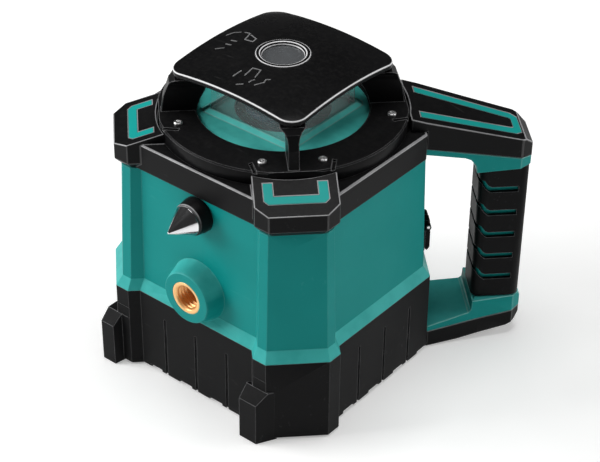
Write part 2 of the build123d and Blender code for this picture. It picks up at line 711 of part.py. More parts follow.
for key_name, place in keys.items():
    with BuildPart() as key:
        with BuildSketch(back_plane.offset(65.6)):
            with Locations(place):
                Circle(key_radius)
        extrude(amount=panel_face + 1.6 - 65.6)
        fillet(key.faces().sort_by(Axis.Y)[-1].edges(), radius=0.9)
        with BuildSketch(back_plane.offset(64.4)):
            with Locations(place):
                Circle(1.5)
        extrude(amount=1.4)
    keep(key, key_name)

with BuildPart() as lamps:
    with BuildSketch(back_plane.offset(64.0)):
        with Locations(*lamp_places):
            Circle(1.55)
    extrude(amount=panel_face - 0.3 - 64.0)
keep(lamps, "panel_lamps")

with BuildPart() as receiver:
    with BuildSketch(back_plane.offset(65.0)):
        with Locations(receiver_place):
            SlotCenterToCenter(22, 11.9)
    extrude(amount=panel_face + 0.6 - 65.0)
    fillet(receiver.faces().sort_by(Axis.Y)[-1].edges(), radius=1.6)
keep(receiver, "receiver_window")

with BuildPart() as keypad_board:
    with BuildSketch(back_plane.offset(61.0)):
        with Locations((0, panel_mid)):
            Rectangle(64, 44)
    extrude(amount=1.6)
keep(keypad_board, "keypad_board")

# ---------------------------------------------------------------- battery bay on the -X face
door_outer = -71.2
with BuildPart() as door:
    with BuildSketch(left_plane.offset(68.0)):
        with Locations((0, (door_low + door_high) / 2)):
            RectangleRounded(2 * door_half, door_high - door_low, 1.5)
    extrude(amount=-door_outer - 68.0)
    chamfer(door.faces().sort_by(Axis.X)[0].edges(), length=0.8)
    # finger scoop near the free edge
    with BuildSketch(left_plane.offset(70.0)):
        with Locations((24.5, (door_low + door_high) / 2)):
            SlotCenterToCenter(12, 6, rotation=90)
    extrude(amount=5, mode=Mode.SUBTRACT)
    for low in (70.0, 88.0):
        with BuildSketch(Plane.XY.offset(low)):
            with Locations((hinge_x, hinge_y)):
                Circle(knuckle)
            Polygon((hinge_x - 1.6, hinge_y), (hinge_x - 0.8, 29.0), (-70.0, 29.0), (-70.2, hinge_y),
                    align=None)
        extrude(amount=10)
        with BuildSketch(Plane.XY.offset(low)):
            with Locations((hinge_x, hinge_y)):
                Circle(1.0 + running)
        extrude(amount=10, mode=Mode.SUBTRACT)
keep(door, "battery_door")

with BuildPart() as door_pin:
    with BuildSketch(Plane.XY.offset(69.5)):
        with Locations((hinge_x, hinge_y)):
            Circle(1.0)
    extrude(amount=29)
keep(door_pin, "battery_door_pin")

tray_inner, tray_outer, tray_half, tray_low, tray_high = -43.5, -65.4, 34.2, 63.5, 104.5
with BuildPart() as tray:
    with BuildSketch(Plane.XY.offset(tray_low)):
        with Locations(((tray_inner + tray_outer) / 2, 0)):
            Rectangle(tray_inner - tray_outer, 2 * tray_half + 4)
    extrude(amount=tray_high - tray_low)
    with BuildSketch(left_plane.offset(-tray_inner - 20)):
        with Locations((0, (tray_low + tray_high) / 2)):
            Rectangle(2 * tray_half, tray_high - tray_low - 3)
    extrude(amount=60, mode=Mode.SUBTRACT)
    with BuildSketch(left_plane.offset(-tray_inner)):
        with Locations((0, (tray_low + tray_high) / 2)):
            Rectangle(2 * tray_half + 4, tray_high - tray_low)
    extrude(amount=1.5)
keep(tray, "battery_tray")

cell_radius, cell_length = 9.1, 65.0
cell_x = -55.6
cell_heights = (74.5, 93.5)
with BuildPart() as cells:
    with BuildSketch(back_plane.offset(-cell_length / 2)):
        with Locations(*[(-cell_x, height) for height in cell_heights]):
            Circle(cell_radius)
    extrude(amount=cell_length - 1.2)
    chamfer(cells.edges().filter_by(GeomType.CIRCLE), length=0.6)
    with BuildSketch(back_plane.offset(cell_length / 2 - 1.2)):
        with Locations(*[(-cell_x, height) for height in cell_heights]):
            Circle(3.2)
    extrude(amount=1.2)
keep(cells, "battery_cells")

with BuildPart() as contacts:
    for y in (-tray_half + 0.05, tray_half - 0.6 - 0.05):
        with BuildSketch(back_plane.offset(y)):
            with Locations(*[(-cell_x, height) for height in cell_heights]):
                RectangleRounded(12, 12, 1)
        extrude(amount=0.6)
keep(contacts, "battery_contacts")

# ---------------------------------------------------------------- charging port by the handle
port_face = 79.6
flap_axis_along, flap_axis_z, flap_thick = 81.4, 74.2, 2.6
with BuildPart() as port:
    with BuildSketch(turned_plane.offset(port_low + 0.1)):
        with Locations(((port_face + 68) / 2, 0)):
            Rectangle(port_face - 68, 2 * port_half - 0.2)
    extrude(amount=port_high - port_low - 0.2)
    with BuildSketch(side_plane):
        Polygon((76.9, 72.9), (79.6, 72.9), (flap_axis_along + 1.6, flap_axis_z - 0.6),
                (flap_axis_along + 1.6, flap_axis_z + 1.0), (flap_axis_along - 1.0, flap_axis_z + 1.7),
                (76.9, 75.5), align=None)
    extrude(amount=2.9, both=True)
    with BuildSketch(side_plane):
        with Locations((flap_axis_along, flap_axis_z)):
            Circle(0.9)
    extrude(amount=9, both=True, mode=Mode.SUBTRACT)
    with BuildSketch(Plane(origin=diagonal * 70.5, x_dir=(-1 / root2, 1 / root2, 0), z_dir=diagonal)):
        with Locations((0, 65.5)):
            Circle(4.2)
            Circle(1.1, mode=Mode.SUBTRACT)
    extrude(amount=30, mode=Mode.SUBTRACT)
keep(port, "charging_port")

with BuildPart() as flap:
    with BuildSketch(side_plane):
        Polygon((port_face + 0.3, 60.0), (port_face + 0.3, 71.6), (flap_axis_along - 0.4, flap_axis_z - 0.2),
                (flap_axis_along + 0.9, flap_axis_z - 0.8), (port_face + 0.3 + flap_thick, 71.0),
                (port_face + 0.3 + flap_thick, 61.0), (port_face + 1.3, 58.9), align=None)
    extrude(amount=8.2, both=True)
    with BuildSketch(side_plane):
        with Locations((flap_axis_along, flap_axis_z)):
            Circle(1.6)
    extrude(amount=8.2, both=True)
    with BuildSketch(side_plane):
        with Locations((flap_axis_along, flap_axis_z)):
            Rectangle(8, 5.0)
    extrude(amount=3.2, both=True, mode=Mode.SUBTRACT)
    with BuildSketch(side_plane):
        with Locations((flap_axis_along, flap_axis_z)):
            Circle(0.9 + running)
    extrude(amount=9, both=True, mode=Mode.SUBTRACT)
keep(flap, "charging_flap")

with BuildPart() as flap_pin:
    with BuildSketch(side_plane):
        with Locations((flap_axis_along, flap_axis_z)):
            Circle(0.9)
    extrude(amount=7.9, both=True)
keep(flap_pin, "charging_flap_pin")

# ---------------------------------------------------------------- chassis and gimbal
chassis_inner, chassis_outer = 40.0, 47.0
gimbal_inner, gimbal_outer = 31.5, 38.3
collar_outer = 29.0
pin_radius = 2.0

with BuildPart() as chassis:
    with BuildSketch(Plane.XY.offset(pivot_z - 5)):
        Circle(chassis_outer)
        Circle(chassis_inner, mode=Mode.SUBTRACT)
    extrude(amount=10)
    for turn in all_corners:
        with BuildSketch(Plane.XY.offset(pivot_z - 5)):
            Polygon(*[along(a, b, turn) for a, b in ((44, -5), (61, -5), (61, 5), (44, 5))], align=None)
        extrude(amount=5)
        with BuildSketch(Plane.XY.offset(pivot_z)):
            Polygon(*[along(a, b, turn) for a, b in ((54, -4), (61, -4), (61, 4), (54, 4))], align=None)
        extrude(amount=frame_top - 2.5 - pivot_z)
    # hangers for the two levelling drives
    with BuildSketch(Plane.XY.offset(pivot_z - 5)):
        with Locations((52, 0)):
            Rectangle(20, 16)
        with Locations((0, 51.2)):
            Rectangle(16, 18.4)
        Circle(chassis_inner, mode=Mode.SUBTRACT)
    extrude(amount=4)
    with BuildSketch(Plane.XY.offset(56)):
        with Locations((60.5, 0)):
            Rectangle(3, 16)
        with Locations((0, 59.5)):
            Rectangle(16, 1.8)
    extrude(amount=pivot_z - 5 - 56)
    with BuildSketch(Plane.YZ.offset(-chassis_outer - 5)):
        with Locations((0, pivot_z)):
            Circle(pin_radius)
    extrude(amount=2 * chassis_outer + 10, mode=Mode.SUBTRACT)
keep(chassis, "chassis")

with BuildPart() as outer_pins:
    for x in (-chassis_outer, 33.0):
        with BuildSketch(Plane.YZ.offset(x)):
            with Locations((0, pivot_z)):
                Circle(pin_radius)
        extrude(amount=14)
keep(outer_pins, "gimbal_outer_pins")

with BuildPart() as gimbal:
    with BuildSketch(Plane.XY.offset(pivot_z - 3.5)):
        Circle(gimbal_outer)
        Circle(gimbal_inner, mode=Mode.SUBTRACT)
    extrude(amount=7)
    # drop arm that the second levelling drive pushes
    with BuildSketch(Plane.XY.offset(pivot_z - 15)):
        with Locations((0, (33.5 + 38) / 2)):
            Rectangle(9, 4.5)
    extrude(amount=12)
    with BuildSketch(Plane.XY.offset(pivot_z - 15)):
        with Locations((0, 43.5)):
            Rectangle(9, 20)
    extrude(amount=3.5)
    with BuildSketch(Plane.YZ.offset(-60)):
        with Locations((0, pivot_z)):
            Circle(pin_radius + running)
    extrude(amount=120, mode=Mode.SUBTRACT)
    with BuildSketch(back_plane.offset(-60)):
        with Locations((0, pivot_z)):
            Circle(pin_radius + running)
    extrude(amount=120, mode=Mode.SUBTRACT)
keep(gimbal, "gimbal_ring")

with BuildPart() as carrier:
    with BuildSketch(Plane.XZ):
        Polygon((11, 45), (14, 45), (14, pivot_z - 5), (collar_outer, pivot_z - 5), (collar_outer, pivot_z + 5),
                (19, pivot_z + 5), (19, 136), (14, 136), (14, 126), (11, 126), align=None)
    revolve(axis=Axis.Z)
    # arm that the first levelling drive pushes
    with BuildSketch(Plane.XY.offset(pivot_z - 15)):
        with Locations((33, 0)):
            Rectangle(42, 9)
        Circle(12.5, mode=Mode.SUBTRACT)
    extrude(amount=3.5)
    with BuildSketch(back_plane.offset(-60)):
        with Locations((0, pivot_z)):
            Circle(pin_radius)
    extrude(amount=120, mode=Mode.SUBTRACT)
keep(carrier, "laser_carrier")

with BuildPart() as inner_pins:
    for y in (-36.5, 24.0):
        with BuildSketch(back_plane.offset(y)):
            with Locations((0, pivot_z)):
                Circle(pin_radius)
        extrude(amount=12.5)
keep(inner_pins, "gimbal_inner_pins")

# ---------------------------------------------------------------- laser and rotor
with BuildPart() as laser_module:
    with BuildSketch(Plane.XZ):
        Polygon((0, 52), (10.95, 52), (10.95, 74), (8, 76), (8, 88), (4, 88), (4, 80), (0, 80), align=None)
    revolve(axis=Axis.Z)
keep(laser_module, "laser_module")

with BuildPart() as collimator:
    with BuildSketch(Plane.XZ):
        with BuildLine():
            lens_edge = Line((0, 98), (10.95, 98))
            Line(lens_edge @ 1, (10.95, 100))
            RadiusArc((10.95, 100), (0, 102.4), -(10.95**2 + 2.4**2) / 4.8)
            Line((0, 102.4), (0, 98))
        make_face()
    revolve(axis=Axis.Z)
keep(collimator, "collimating_lens")

with BuildPart() as bearings:
    for low in (126.0, 131.0):
        with BuildSketch(Plane.XZ):
            Polygon((9, low + 0.05), (14, low + 0.05), (14, low + 4.8), (9, low + 4.8), align=None)
            Polygon((10.6, low), (12.4, low), (12.4, low + 0.6), (10.6, low + 0.6), align=None,
                    mode=Mode.SUBTRACT)
            Polygon((10.6, low + 4.3), (12.4, low + 4.3), (12.4, low + 5), (10.6, low + 5), align=None,
                    mode=Mode.SUBTRACT)
        revolve(axis=Axis.Z)
keep(bearings, "rotor_bearings")

belt_low, belt_high = 139.4, 142.6
disc_low, disc_high = 153.6, 156.6
with BuildPart() as rotor:
    with BuildSketch(Plane.XZ):
        Polygon((6, 124), (9 - running, 124), (9 - running, 138.2), (13.2, 138.2), (13.2, belt_low - 0.1),
                (rotor_pulley, belt_low - 0.1), (rotor_pulley, belt_high + 0.1), (13.2, belt_high + 0.1),
                (13.2, 144), (10, 144), (10, disc_low), (rotor_radius, disc_low),
                (rotor_radius, disc_high - 0.6), (rotor_radius - 0.6, disc_high), (6, disc_high), align=None)
    revolve(axis=Axis.Z)
keep(rotor, "rotor_hub")

prism_half, prism_top = 9.0, 174.5
with BuildPart() as prism_house:
    with BuildSketch(Plane.XY.offset(disc_high)):
        RectangleRounded(2 * prism_half + 5, 2 * prism_half + 5, 3)
    extrude(amount=prism_top - disc_high)
    chamfer(prism_house.faces().sort_by(Axis.Z)[-1].edges(), length=1.5)
    with BuildSketch(Plane.XY.offset(disc_high)):
        Rectangle(2 * prism_half + 0.1, 2 * prism_half + 0.1)
    extrude(amount=15, mode=Mode.SUBTRACT)
    with BuildSketch(Plane.XY.offset(disc_high)):
        Circle(6)
    extrude(amount=30, mode=Mode.SUBTRACT)
    with BuildSketch(front_plane.offset(0)):
        with Locations((0, disc_high + 8)):
            RectangleRounded(12, 11, 1.5)
    extrude(amount=20, mode=Mode.SUBTRACT)
keep(prism_house, "prism_housing")

with BuildPart() as prism:
    with BuildSketch(Plane.YZ):
        Polygon((-prism_half, disc_high + 0.05), (prism_half - 3.5, disc_high + 0.05),
                (prism_half, disc_high + 8.5), (prism_half - 6, disc_high + 14.9),
                (-prism_half, disc_high + 14.9), align=None)
    extrude(amount=prism_half - 0.5, both=True)
keep(prism, "penta_prism")

with BuildPart() as spin_motor:
    with BuildSketch(Plane.XY.offset(123)):
        with Locations((motor_x, 0)):
            Circle(8.6)
    extrude(amount=13)
    chamfer(spin_motor.faces().sort_by(Axis.Z)[-1].edges(), length=0.6)
keep(spin_motor, "spin_motor")

with BuildPart() as bracket:
    with BuildSketch(Plane.XY.offset(136)):
        with BuildLine():
            Polyline((-28, 8.4), (0, 18), (0, -18), (-28, -8.4), close=True)
        make_face()
        Circle(18)
        with Locations((motor_x, 0)):
            Circle(8.4)
        Circle(10, mode=Mode.SUBTRACT)
        with Locations((motor_x, 0)):
            Circle(1.6, mode=Mode.SUBTRACT)
    extrude(amount=1.5)
keep(bracket, "motor_bracket")

with BuildPart() as pulley:
    with BuildSketch(Plane(origin=(motor_x, 0, 0), x_dir=(1, 0, 0), z_dir=(0, -1, 0))):
        Polygon((0, 136.3), (1.0, 136.3), (1.0, 138.4), (5.0, 138.4), (5.0, belt_low - 0.1),
                (motor_pulley, belt_low - 0.1), (motor_pulley, belt_high + 0.1), (5.0, belt_high + 0.1),
                (5.0, 143.6), (0, 143.6), align=None)
    revolve(axis=Axis(origin=(motor_x, 0, 0), direction=(0, 0, 1)))
keep(pulley, "motor_pulley")


def loop_outline(grow):
    """Tangent points of a belt round both pulleys, with its radii."""
    big, small = rotor_pulley + grow, motor_pulley + grow
    lean = (big - small) / -motor_x
    rise = sqrt(1 - lean * lean)
    return (-big * lean, big * rise), (motor_x - small * lean, small * rise), big, small


with BuildPart() as belt:
    with BuildSketch(Plane.XY.offset(belt_low)):
        for grow, how in ((1.0, Mode.ADD), (running, Mode.SUBTRACT)):
            near, far, big, small = loop_outline(grow)
            with BuildLine():
                Line(near, far)
                ThreePointArc(far, (motor_x - small, 0), (far[0], -far[1]))
                Line((far[0], -far[1]), (near[0], -near[1]))
                ThreePointArc((near[0], -near[1]), (big, 0), near)
            make_face(mode=how)
    extrude(amount=belt_high - belt_low)
keep(belt, "drive_belt")

# ---------------------------------------------------------------- levelling drives and main board
drive_low, drive_high = 58.0, 90.0
tip_gap = 0.45
drive_places = {"x": (tilt_arm, 0.0), "y": (0.0, tilt_arm)}
with BuildPart() as drives:
    with BuildSketch(Plane.XY.offset(drive_low)):
        with Locations(*drive_places.values()):
            RectangleRounded(15, 15, 2)
    extrude(amount=drive_high - drive_low)
    chamfer(drives.faces().group_by(Axis.Z)[-1].edges(), length=0.8)
    with BuildSketch(Plane.XY.offset(75)):
        with Locations(*drive_places.values()):
            Circle(2.5 + running)
    extrude(amount=30, mode=Mode.SUBTRACT)
keep(drives, "levelling_drives")

for label, (x, y) in drive_places.items():
    with BuildPart() as plunger:
        with BuildSketch(Plane.XY.offset(81)):
            with Locations((x, y)):
                Circle(2.5)
        extrude(amount=pivot_z - 15 - tip_gap - 81)
        chamfer(plunger.faces().sort_by(Axis.Z)[-1].edges(), length=0.9)
    keep(plunger, f"levelling_plunger_{label}")

with BuildPart() as main_board:
    with BuildSketch(Plane.XY.offset(board_z)):
        Rectangle(96, 96)
        Circle(24, mode=Mode.SUBTRACT)
    extrude(amount=1.6)
keep(main_board, "main_board")

print(len(written), "pieces")
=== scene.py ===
import json
import math

import bmesh
import bpy
import numpy as np
from mathutils import Matrix, Vector


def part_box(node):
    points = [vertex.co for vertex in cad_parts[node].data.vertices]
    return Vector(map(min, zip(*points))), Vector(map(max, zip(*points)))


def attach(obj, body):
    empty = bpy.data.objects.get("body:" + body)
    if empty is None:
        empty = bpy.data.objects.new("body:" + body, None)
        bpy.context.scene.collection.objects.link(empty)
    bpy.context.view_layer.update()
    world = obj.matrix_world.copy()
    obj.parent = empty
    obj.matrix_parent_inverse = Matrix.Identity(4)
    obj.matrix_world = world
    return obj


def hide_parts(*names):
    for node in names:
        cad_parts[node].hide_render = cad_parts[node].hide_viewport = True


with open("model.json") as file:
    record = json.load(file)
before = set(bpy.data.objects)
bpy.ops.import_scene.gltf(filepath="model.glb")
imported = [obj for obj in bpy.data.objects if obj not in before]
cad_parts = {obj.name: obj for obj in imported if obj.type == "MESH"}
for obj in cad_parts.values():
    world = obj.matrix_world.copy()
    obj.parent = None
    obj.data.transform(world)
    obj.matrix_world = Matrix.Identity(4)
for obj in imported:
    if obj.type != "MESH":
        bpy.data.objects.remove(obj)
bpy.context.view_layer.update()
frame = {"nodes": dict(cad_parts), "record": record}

nodes = frame["nodes"]
mm = 0.001


def addNode(tree, kind, place=(0, 0), **settings):
    node = tree.nodes.new(kind)
    node.location = place
    for name, value in settings.items():
        setattr(node, name, value)
    return node


def feed(tree, target, source):
    # a socket is linked, anything else is set as the socket's own value
    if isinstance(source, bpy.types.NodeSocket):
        tree.links.new(source, target)
    elif source is not None:
        target.default_value = source


def newGroup(name, inputs, outputs):
    group = bpy.data.node_groups.new(name, "ShaderNodeTree")
    for label, kind, value in inputs:
        socket = group.interface.new_socket(name=label, in_out="INPUT", socket_type=kind)
        socket.default_value = value
    for label, kind in outputs:
        group.interface.new_socket(name=label, in_out="OUTPUT", socket_type=kind)
    return group, addNode(group, "NodeGroupInput", (-900, 0)), addNode(group, "NodeGroupOutput", (900, 0))


def mathNode(tree, operation, first, second=None, clamp=False):
    node = addNode(tree, "ShaderNodeMath", operation=operation, use_clamp=clamp)
    feed(tree, node.inputs[0], first)
    feed(tree, node.inputs[1], second)
    return node.outputs[0]


def noiseNode(tree, vector, scale, detail=3.0, roughness=0.55):
    node = addNode(tree, "ShaderNodeTexNoise")
    feed(tree, node.inputs["Vector"], vector)
    feed(tree, node.inputs["Scale"], scale)
    feed(tree, node.inputs["Detail"], detail)
    feed(tree, node.inputs["Roughness"], roughness)
    return node.outputs["Fac"]


def rangeNode(tree, value, fromLow, fromHigh, toLow, toHigh):
    node = addNode(tree, "ShaderNodeMapRange", clamp=True)
    for index, item in enumerate((value, fromLow, fromHigh, toLow, toHigh)):
        feed(tree, node.inputs[index], item)
    return node.outputs[0]


def mixColour(tree, factor, first, second):
    node = addNode(tree, "ShaderNodeMix", data_type="RGBA")
    feed(tree, node.inputs[0], factor)
    for index, colour in ((6, first), (7, second)):
        feed(tree, node.inputs[index], (*colour, 1.0) if isinstance(colour, tuple) else colour)
    return node.outputs[2]


def makeGrain():
    # fine moulding texture plus slow cloudy patches, both from noise on Object coordinates
    group, given, out = newGroup("mouldGrain", [("Scale", "NodeSocketFloat", 900.0)],
                                 [("Height", "NodeSocketFloat"), ("Patch", "NodeSocketFloat")])
    place = addNode(group, "ShaderNodeTexCoord", (-700, 0)).outputs["Object"]
    fine = noiseNode(group, place, given.outputs["Scale"], 2.0, 0.6)
    coarse = noiseNode(group, place, mathNode(group, "MULTIPLY", given.outputs["Scale"], 0.31), 3.0)
    height = mathNode(group, "ADD", mathNode(group, "MULTIPLY", fine, 0.6),
                      mathNode(group, "MULTIPLY", coarse, 0.4))
    feed(group, out.inputs["Height"], height)
    feed(group, out.inputs["Patch"], rangeNode(group, noiseNode(group, place, 26.0, 4.0), 0.3, 0.7, 0.0, 1.0))
    return group


def makeEdgeHighlight():
    # painted highlight: how far the rounded normal leaves the true one, broken up by noise: bright only along
    # edges
    group, given, out = newGroup("paintedEdgeHighlight",
                                 [("Radius", "NodeSocketFloat", 0.0008), ("Gain", "NodeSocketFloat", 4.0)],
                                 [("Edge", "NodeSocketFloat"), ("PaintedHighlight", "NodeSocketFloat")])
    bevel = addNode(group, "ShaderNodeBevel", samples=5)
    feed(group, bevel.inputs["Radius"], given.outputs["Radius"])
    true = addNode(group, "ShaderNodeNewGeometry")
    dot = addNode(group, "ShaderNodeVectorMath", operation="DOT_PRODUCT")
    feed(group, dot.inputs[0], bevel.outputs["Normal"])
    feed(group, dot.inputs[1], true.outputs["Normal"])
    turned = mathNode(group, "SUBTRACT", 1.0, dot.outputs["Value"], clamp=True)
    edge = mathNode(group, "MULTIPLY", turned, given.outputs["Gain"], clamp=True)
    place = addNode(group, "ShaderNodeTexCoord").outputs["Object"]
    broken = rangeNode(group, noiseNode(group, place, 140.0, 4.0, 0.7), 0.42, 0.66, 0.0, 1.0)
    feed(group, out.inputs["Edge"], edge)
    steady = mathNode(group, "ADD", mathNode(group, "MULTIPLY", broken, 0.5), 0.5)
    feed(group, out.inputs["PaintedHighlight"], mathNode(group, "MULTIPLY", edge, steady))
    return group


def makeScuffs():
    # short thin rubs: noise stretched along one slanted direction and cut near its top
    group, given, out = newGroup("handlingScuffs", [("Amount", "NodeSocketFloat", 0.5)],
                                 [("Mask", "NodeSocketFloat")])
    place = addNode(group, "ShaderNodeTexCoord").outputs["Object"]
    mapping = addNode(group, "ShaderNodeMapping")
    feed(group, mapping.inputs["Vector"], place)
    feed(group, mapping.inputs["Rotation"], (0.5, 0.3, 0.9))
    feed(group, mapping.inputs["Scale"], (40.0, 520.0, 300.0))
    rubs = rangeNode(group, noiseNode(group, mapping.outputs[0], 1.0, 3.0, 0.6), 0.62, 0.74, 0.0, 1.0)
    zones = rangeNode(group, noiseNode(group, place, 33.0, 2.0), 0.5, 0.68, 0.0, 1.0)
    mask = mathNode(group, "MULTIPLY", rubs, zones)
    feed(group, out.inputs["Mask"], mathNode(group, "MULTIPLY", mask, given.outputs["Amount"], clamp=True))
    return group


def makeDust():
    # thin dust that lies where a face looks up
    group, given, out = newGroup("settledDust", [("Amount", "NodeSocketFloat", 0.15)],
                                 [("Mask", "NodeSocketFloat")])
    split = addNode(group, "ShaderNodeSeparateXYZ")
    feed(group, split.inputs[0], addNode(group, "ShaderNodeNewGeometry").outputs["Normal"])
    upward = rangeNode(group, split.outputs["Z"], 0.6, 1.0, 0.0, 1.0)
    place = addNode(group, "ShaderNodeTexCoord").outputs["Object"]
    speckle = rangeNode(group, noiseNode(group, place, 420.0, 5.0, 0.75), 0.45, 0.75, 0.1, 1.0)
    mask = mathNode(group, "MULTIPLY", upward, speckle)
    feed(group, out.inputs["Mask"], mathNode(group, "MULTIPLY", mask, given.outputs["Amount"], clamp=True))
    return group


def makeBrim():
    # a peak where the surface slopes about halfway between level and upright
    group, given, out = newGroup("filletedBrim", [("Amount", "NodeSocketFloat", 1.0)],
                                 [("Mask", "NodeSocketFloat")])
    split = addNode(group, "ShaderNodeSeparateXYZ")
    feed(group, split.inputs[0], addNode(group, "ShaderNodeNewGeometry").outputs["Normal"])
    rising = rangeNode(group, split.outputs["Z"], 0.1, 0.35, 0.0, 1.0)
    falling = rangeNode(group, split.outputs["Z"], 0.75, 0.9, 1.0, 0.0)
    peak = mathNode(group, "MULTIPLY", rising, falling)
    feed(group, out.inputs["Mask"], mathNode(group, "MULTIPLY", peak, given.outputs["Amount"], clamp=True))
    return group


grainGroup = makeGrain()
brimGroup = makeBrim()
edgeGroup = makeEdgeHighlight()
scuffGroup = makeScuffs()
dustGroup = makeDust()
print("stage: shared effects ready")


def startMaterial(name):
    material = bpy.data.materials.new(name)
    material.use_nodes = True
    tree = material.node_tree
    return material, tree, tree.nodes["Principled BSDF"]


def placeGroup(tree, group, **values):
    node = addNode(tree, "ShaderNodeGroup", node_tree=group)
    for name, value in values.items():
        node.inputs[name].default_value = value
    return node


def roundedBump(tree, height, strength, depth, radius):
    # grain on top of edges that shade as if they were rounded
    bevel = addNode(tree, "ShaderNodeBevel", samples=6)
    bevel.inputs["Radius"].default_value = radius
    bump = addNode(tree, "ShaderNodeBump")
    bump.inputs["Strength"].default_value = strength
    bump.inputs["Distance"].default_value = depth
    feed(tree, bump.inputs["Height"], height)
    feed(tree, bump.inputs["Normal"], bevel.outputs["Normal"])
    return bump.outputs["Normal"]


def moulded(name, look):
    # plastic or rubber out of a mould: grain, cloudy sheen, painted highlights along edges and brims, painted
    # top light on ledges, rubs and a little dust
    material, tree, surface = startMaterial(name)
    grain = placeGroup(tree, grainGroup, Scale=look["grainScale"])
    edge = placeGroup(tree, edgeGroup, Radius=look["edge"], Gain=look["edgeGain"])
    scuff = placeGroup(tree, scuffGroup, Amount=look["scuffs"])
    dust = placeGroup(tree, dustGroup, Amount=look["dust"])
    colour = mixColour(tree, grain.outputs["Patch"], look["colour"], look["shade"])
    # painted highlight: edges are paled towards the highlight colour; the scuffs below reuse that colour for
    # real rubs
    colour = mixColour(tree, edge.outputs["PaintedHighlight"], colour, look["edgeHighlightAndScuffColour"])
    colour = mixColour(tree, scuff.outputs["Mask"], colour, look["edgeHighlightAndScuffColour"])
    colour = mixColour(tree, dust.outputs["Mask"], colour, (0.55, 0.53, 0.5))
    if "paintedTopLightColour" in look:
        # sloping ledges catch the light from above
        upward = placeGroup(tree, upwardGroup, From=0.2, To=0.5)
        colour = mixColour(tree, upward.outputs["Mask"], colour, look["paintedTopLightColour"])
    if "brim" in look:
        # painted highlight: the filleted brim, where the surface turns from top to wall, is painted pale
        brim = placeGroup(tree, brimGroup, Amount=look["brim"])
        colour = mixColour(tree, brim.outputs["Mask"], colour, (0.85, 0.85, 0.86))
    feed(tree, surface.inputs["Base Color"], colour)
    low, high = look["roughness"]
    rough = rangeNode(tree, grain.outputs["Patch"], 0.0, 1.0, low, high)
    rough = mathNode(tree, "SUBTRACT", rough, mathNode(tree, "MULTIPLY", edge.outputs["Edge"], 0.1))
    rough = mathNode(tree, "ADD", rough, mathNode(tree, "MULTIPLY", scuff.outputs["Mask"], 0.15), clamp=True)
    feed(tree, surface.inputs["Roughness"], rough)
    surface.inputs["IOR"].default_value = look.get("ior", 1.5)
    surface.inputs["Specular IOR Level"].default_value = look.get("specular", 0.5)
    surface.inputs["Coat Weight"].default_value = look.get("coat", 0.0)
    surface.inputs["Coat Roughness"].default_value = 0.12
    feed(tree, surface.inputs["Normal"],
         roundedBump(tree, grain.outputs["Height"], look["grain"], 0.0002, look["edge"]))
    return material


def makeUpward():
    # 0 on walls and undersides, rising to 1 on faces that look up, with slow breaks along them
    group, given, out = newGroup("upwardFaces",
                                 [("From", "NodeSocketFloat", 0.15), ("To", "NodeSocketFloat", 0.6)],
                                 [("Mask", "NodeSocketFloat")])
    split = addNode(group, "ShaderNodeSeparateXYZ")
    feed(group, split.inputs[0], addNode(group, "ShaderNodeNewGeometry").outputs["Normal"])
    upward = rangeNode(group, split.outputs["Z"], given.outputs["From"], given.outputs["To"], 0.0, 1.0)
    place = addNode(group, "ShaderNodeTexCoord").outputs["Object"]
    breaks = rangeNode(group, noiseNode(group, place, 48.0, 3.0, 0.6), 0.3, 0.6, 0.55, 1.0)
    feed(group, out.inputs["Mask"], mathNode(group, "MULTIPLY", upward, breaks))
    return group


upwardGroup = makeUpward()


def roundedEdge(name, look):
    # the narrow rounded strip along a moulding's edges: painted highlight, palest where it looks up
    material, tree, surface = startMaterial(name)
    grain = placeGroup(tree, grainGroup, Scale=look["grainScale"])
    upward = placeGroup(tree, upwardGroup)
    colour = mixColour(tree, grain.outputs["Patch"], look["colour"], look["shade"])
    lit = mathNode(tree, "ADD", mathNode(tree, "MULTIPLY", upward.outputs["Mask"], look["topLight"]),
                   look["sideLight"], clamp=True)
    feed(tree, surface.inputs["Base Color"], mixColour(tree, lit, colour, look["edgeHighlightAndScuffColour"]))
    feed(tree, surface.inputs["Roughness"], rangeNode(tree, grain.outputs["Patch"], 0.0, 1.0, 0.22, 0.32))
    surface.inputs["IOR"].default_value = 1.4
    bump = addNode(tree, "ShaderNodeBump")
    bump.inputs["Strength"].default_value = 0.08
    bump.inputs["Distance"].default_value = 0.0001
    feed(tree, bump.inputs["Height"], grain.outputs["Height"])
    feed(tree, surface.inputs["Normal"], bump.outputs["Normal"])
    return material


def metal(name, look):
    # machined or plated metal: rings round the z axis or long brushing, plus smudges
    material, tree, surface = startMaterial(name)
    grain = placeGroup(tree, grainGroup, Scale=look["grainScale"])
    edge = placeGroup(tree, edgeGroup, Radius=look["edge"], Gain=3.0)
    place = addNode(tree, "ShaderNodeTexCoord").outputs["Object"]
    mapping = addNode(tree, "ShaderNodeMapping")
    feed(tree, mapping.inputs["Vector"], place)
    feed(tree, mapping.inputs["Scale"], look["stretch"])
    lines = noiseNode(tree, mapping.outputs[0], 1.0, 2.0, 0.5)
    colour = mixColour(tree, grain.outputs["Patch"], look["colour"], look["shade"])
    # painted highlight: edges are paled towards the highlight colour
    colour = mixColour(tree, edge.outputs["PaintedHighlight"], colour, look["edgeHighlightAndScuffColour"])
    feed(tree, surface.inputs["Base Color"], colour)
    surface.inputs["Metallic"].default_value = look.get("metallic", 1.0)
    low, high = look["roughness"]
    both = mathNode(tree, "ADD", mathNode(tree, "MULTIPLY", lines, 0.5),
                    mathNode(tree, "MULTIPLY", grain.outputs["Patch"], 0.5))
    feed(tree, surface.inputs["Roughness"], rangeNode(tree, both, 0.15, 0.85, low, high))
    feed(tree, surface.inputs["Normal"], roundedBump(tree, lines, look["grain"], 0.0001, look["edge"]))
    return material


